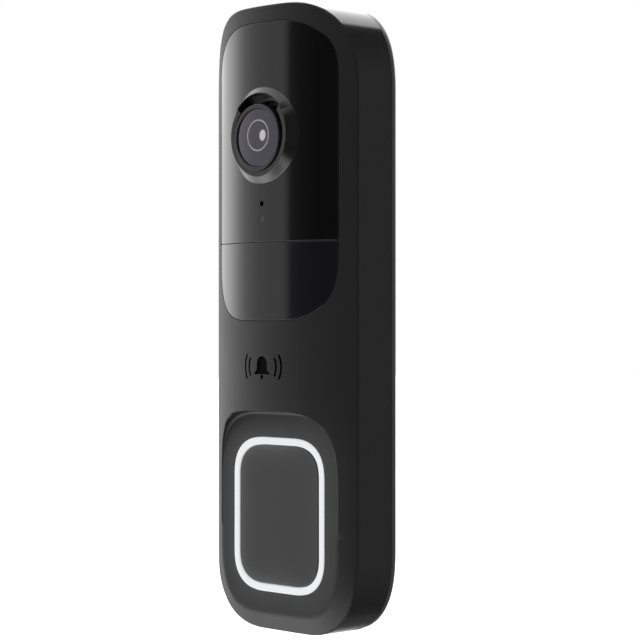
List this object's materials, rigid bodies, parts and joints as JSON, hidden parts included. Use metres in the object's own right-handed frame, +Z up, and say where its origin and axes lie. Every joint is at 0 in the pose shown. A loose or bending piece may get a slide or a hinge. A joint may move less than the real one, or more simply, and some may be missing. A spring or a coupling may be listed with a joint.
{
  "type": "video doorbell",
  "caption": "Slim upright video doorbell with a bowed glossy camera panel, a finger recess with a lit call button, and a wall plate that it clips onto.",
  "frame": {"origin": "middle of the mounting plate's flat wall face", "axes": "+Z up along the doorbell's length, +Y into the wall, +X to the left of someone who stands with their back to the wall, so the bowed front faces -Y"},
  "size_m": [0.0454, 0.0213, 0.1384],
  "materials": {
    "plate_plastic": "fine matte",
    "casing_plastic": "fine satin front, smoother sides",
    "panel_gloss": "polished",
    "sensor_gloss": "polished",
    "turret_plastic": "satin gloss",
    "barrel_plastic": "satin",
    "lens_glass": "coated",
    "retainer_metal": "dark anodised",
    "lens_elements": "coated",
    "inner_plastic": "moulded",
    "chip_ceramic": "fired",
    "circuit_board": "solder resist",
    "ribbon_film": "film",
    "led_dome": "clear dark red",
    "pad_rubber": "soft",
    "spreader_metal": "satin",
    "milky_plastic": "translucent",
    "can_metal": "tinned",
    "seal_rubber": "matt",
    "gold_can": "plated",
    "clear_plastic": "clear",
    "ferrite": "pressed",
    "capacitor_sleeve": "shrink sleeve",
    "light_ring": "lit diffuser",
    "white_plastic": "moulded",
    "led_phosphor": "phosphor",
    "cap_plastic": "fine satin",
    "screw_steel": "zinc plated",
    "cover_plastic": "moulded",
    "screw_brass": "plain",
    "vent_film": "porous film"
  },
  "bodies": {
    "bracket": {"mounting_plate": "plate_plastic"},
    "housing": {"front_casing": "casing_plastic", "camera_panel": "panel_gloss", "sensor_panel": "sensor_gloss", "lens_turret": "turret_plastic", "lens_barrel": "barrel_plastic", "lens_glass": "lens_glass", "lens_retainer": "retainer_metal", "lens_elements": "lens_elements", "lens_holder": "inner_plastic", "image_sensor": "chip_ceramic", "camera_board": "circuit_board", "camera_flex": "ribbon_film", "ir_board": "circuit_board", "ir_leds": "led_dome", "thermal_pad": "pad_rubber", "heat_spreader": "spreader_metal", "pir_lens": "milky_plastic", "pir_sensor": "can_metal", "mic_boot": "seal_rubber", "microphone": "gold_can", "light_pipe": "clear_plastic", "light_sensor": "chip_ceramic", "main_board": "circuit_board", "processor_shield": "can_metal", "radio_module": "can_metal", "antenna": "ribbon_film", "power_inductor": "ferrite", "filter_capacitors": "capacitor_sleeve", "light_guide": "light_ring", "ring_gasket": "seal_rubber", "led_reflector": "white_plastic", "ring_leds": "led_phosphor", "button_board": "circuit_board", "switch_body": "inner_plastic", "speaker": "inner_plastic", "speaker_duct": "inner_plastic", "board_screws": "screw_steel", "seal_gasket": "seal_rubber", "rear_cover": "cover_plastic", "casing_screws": "screw_steel", "terminal_block": "inner_plastic", "terminal_screws": "screw_brass", "breather_vent": "vent_film", "tamper_switch": "inner_plastic", "tamper_spring": "screw_steel"},
    "button": {"button_cap": "cap_plastic"},
    "tact_plunger": {"switch_plunger": "gold_can"},
    "tamper_pin": {"tamper_plunger": "white_plastic"}
  },
  "joints": [
    {"name": "unit_release", "type": "slide", "parent": "bracket", "child": "housing", "axis": [0, -1, 0], "range_m": [0, 0.012]},
    {"name": "button_press", "type": "slide", "parent": "housing", "child": "button", "axis": [0, 1, 0], "range_m": [0, 0.0006], "stiffness_N_per_m": 600},
    {"name": "tact_press", "type": "slide", "parent": "housing", "child": "tact_plunger", "axis": [0, 1, 0], "range_m": [0, 0.0006]},
    {"name": "tamper_extend", "type": "slide", "parent": "housing", "child": "tamper_pin", "axis": [0, 1, 0], "range_m": [0, 0.0013], "deforming": ["tamper_spring"]}
  ],
  "couplings": [
    {"joint": "tact_press", "follows": "button_press", "ratio": 1},
    {"joint": "tamper_extend", "follows": "unit_release", "ratio": 0.1}
  ]
}
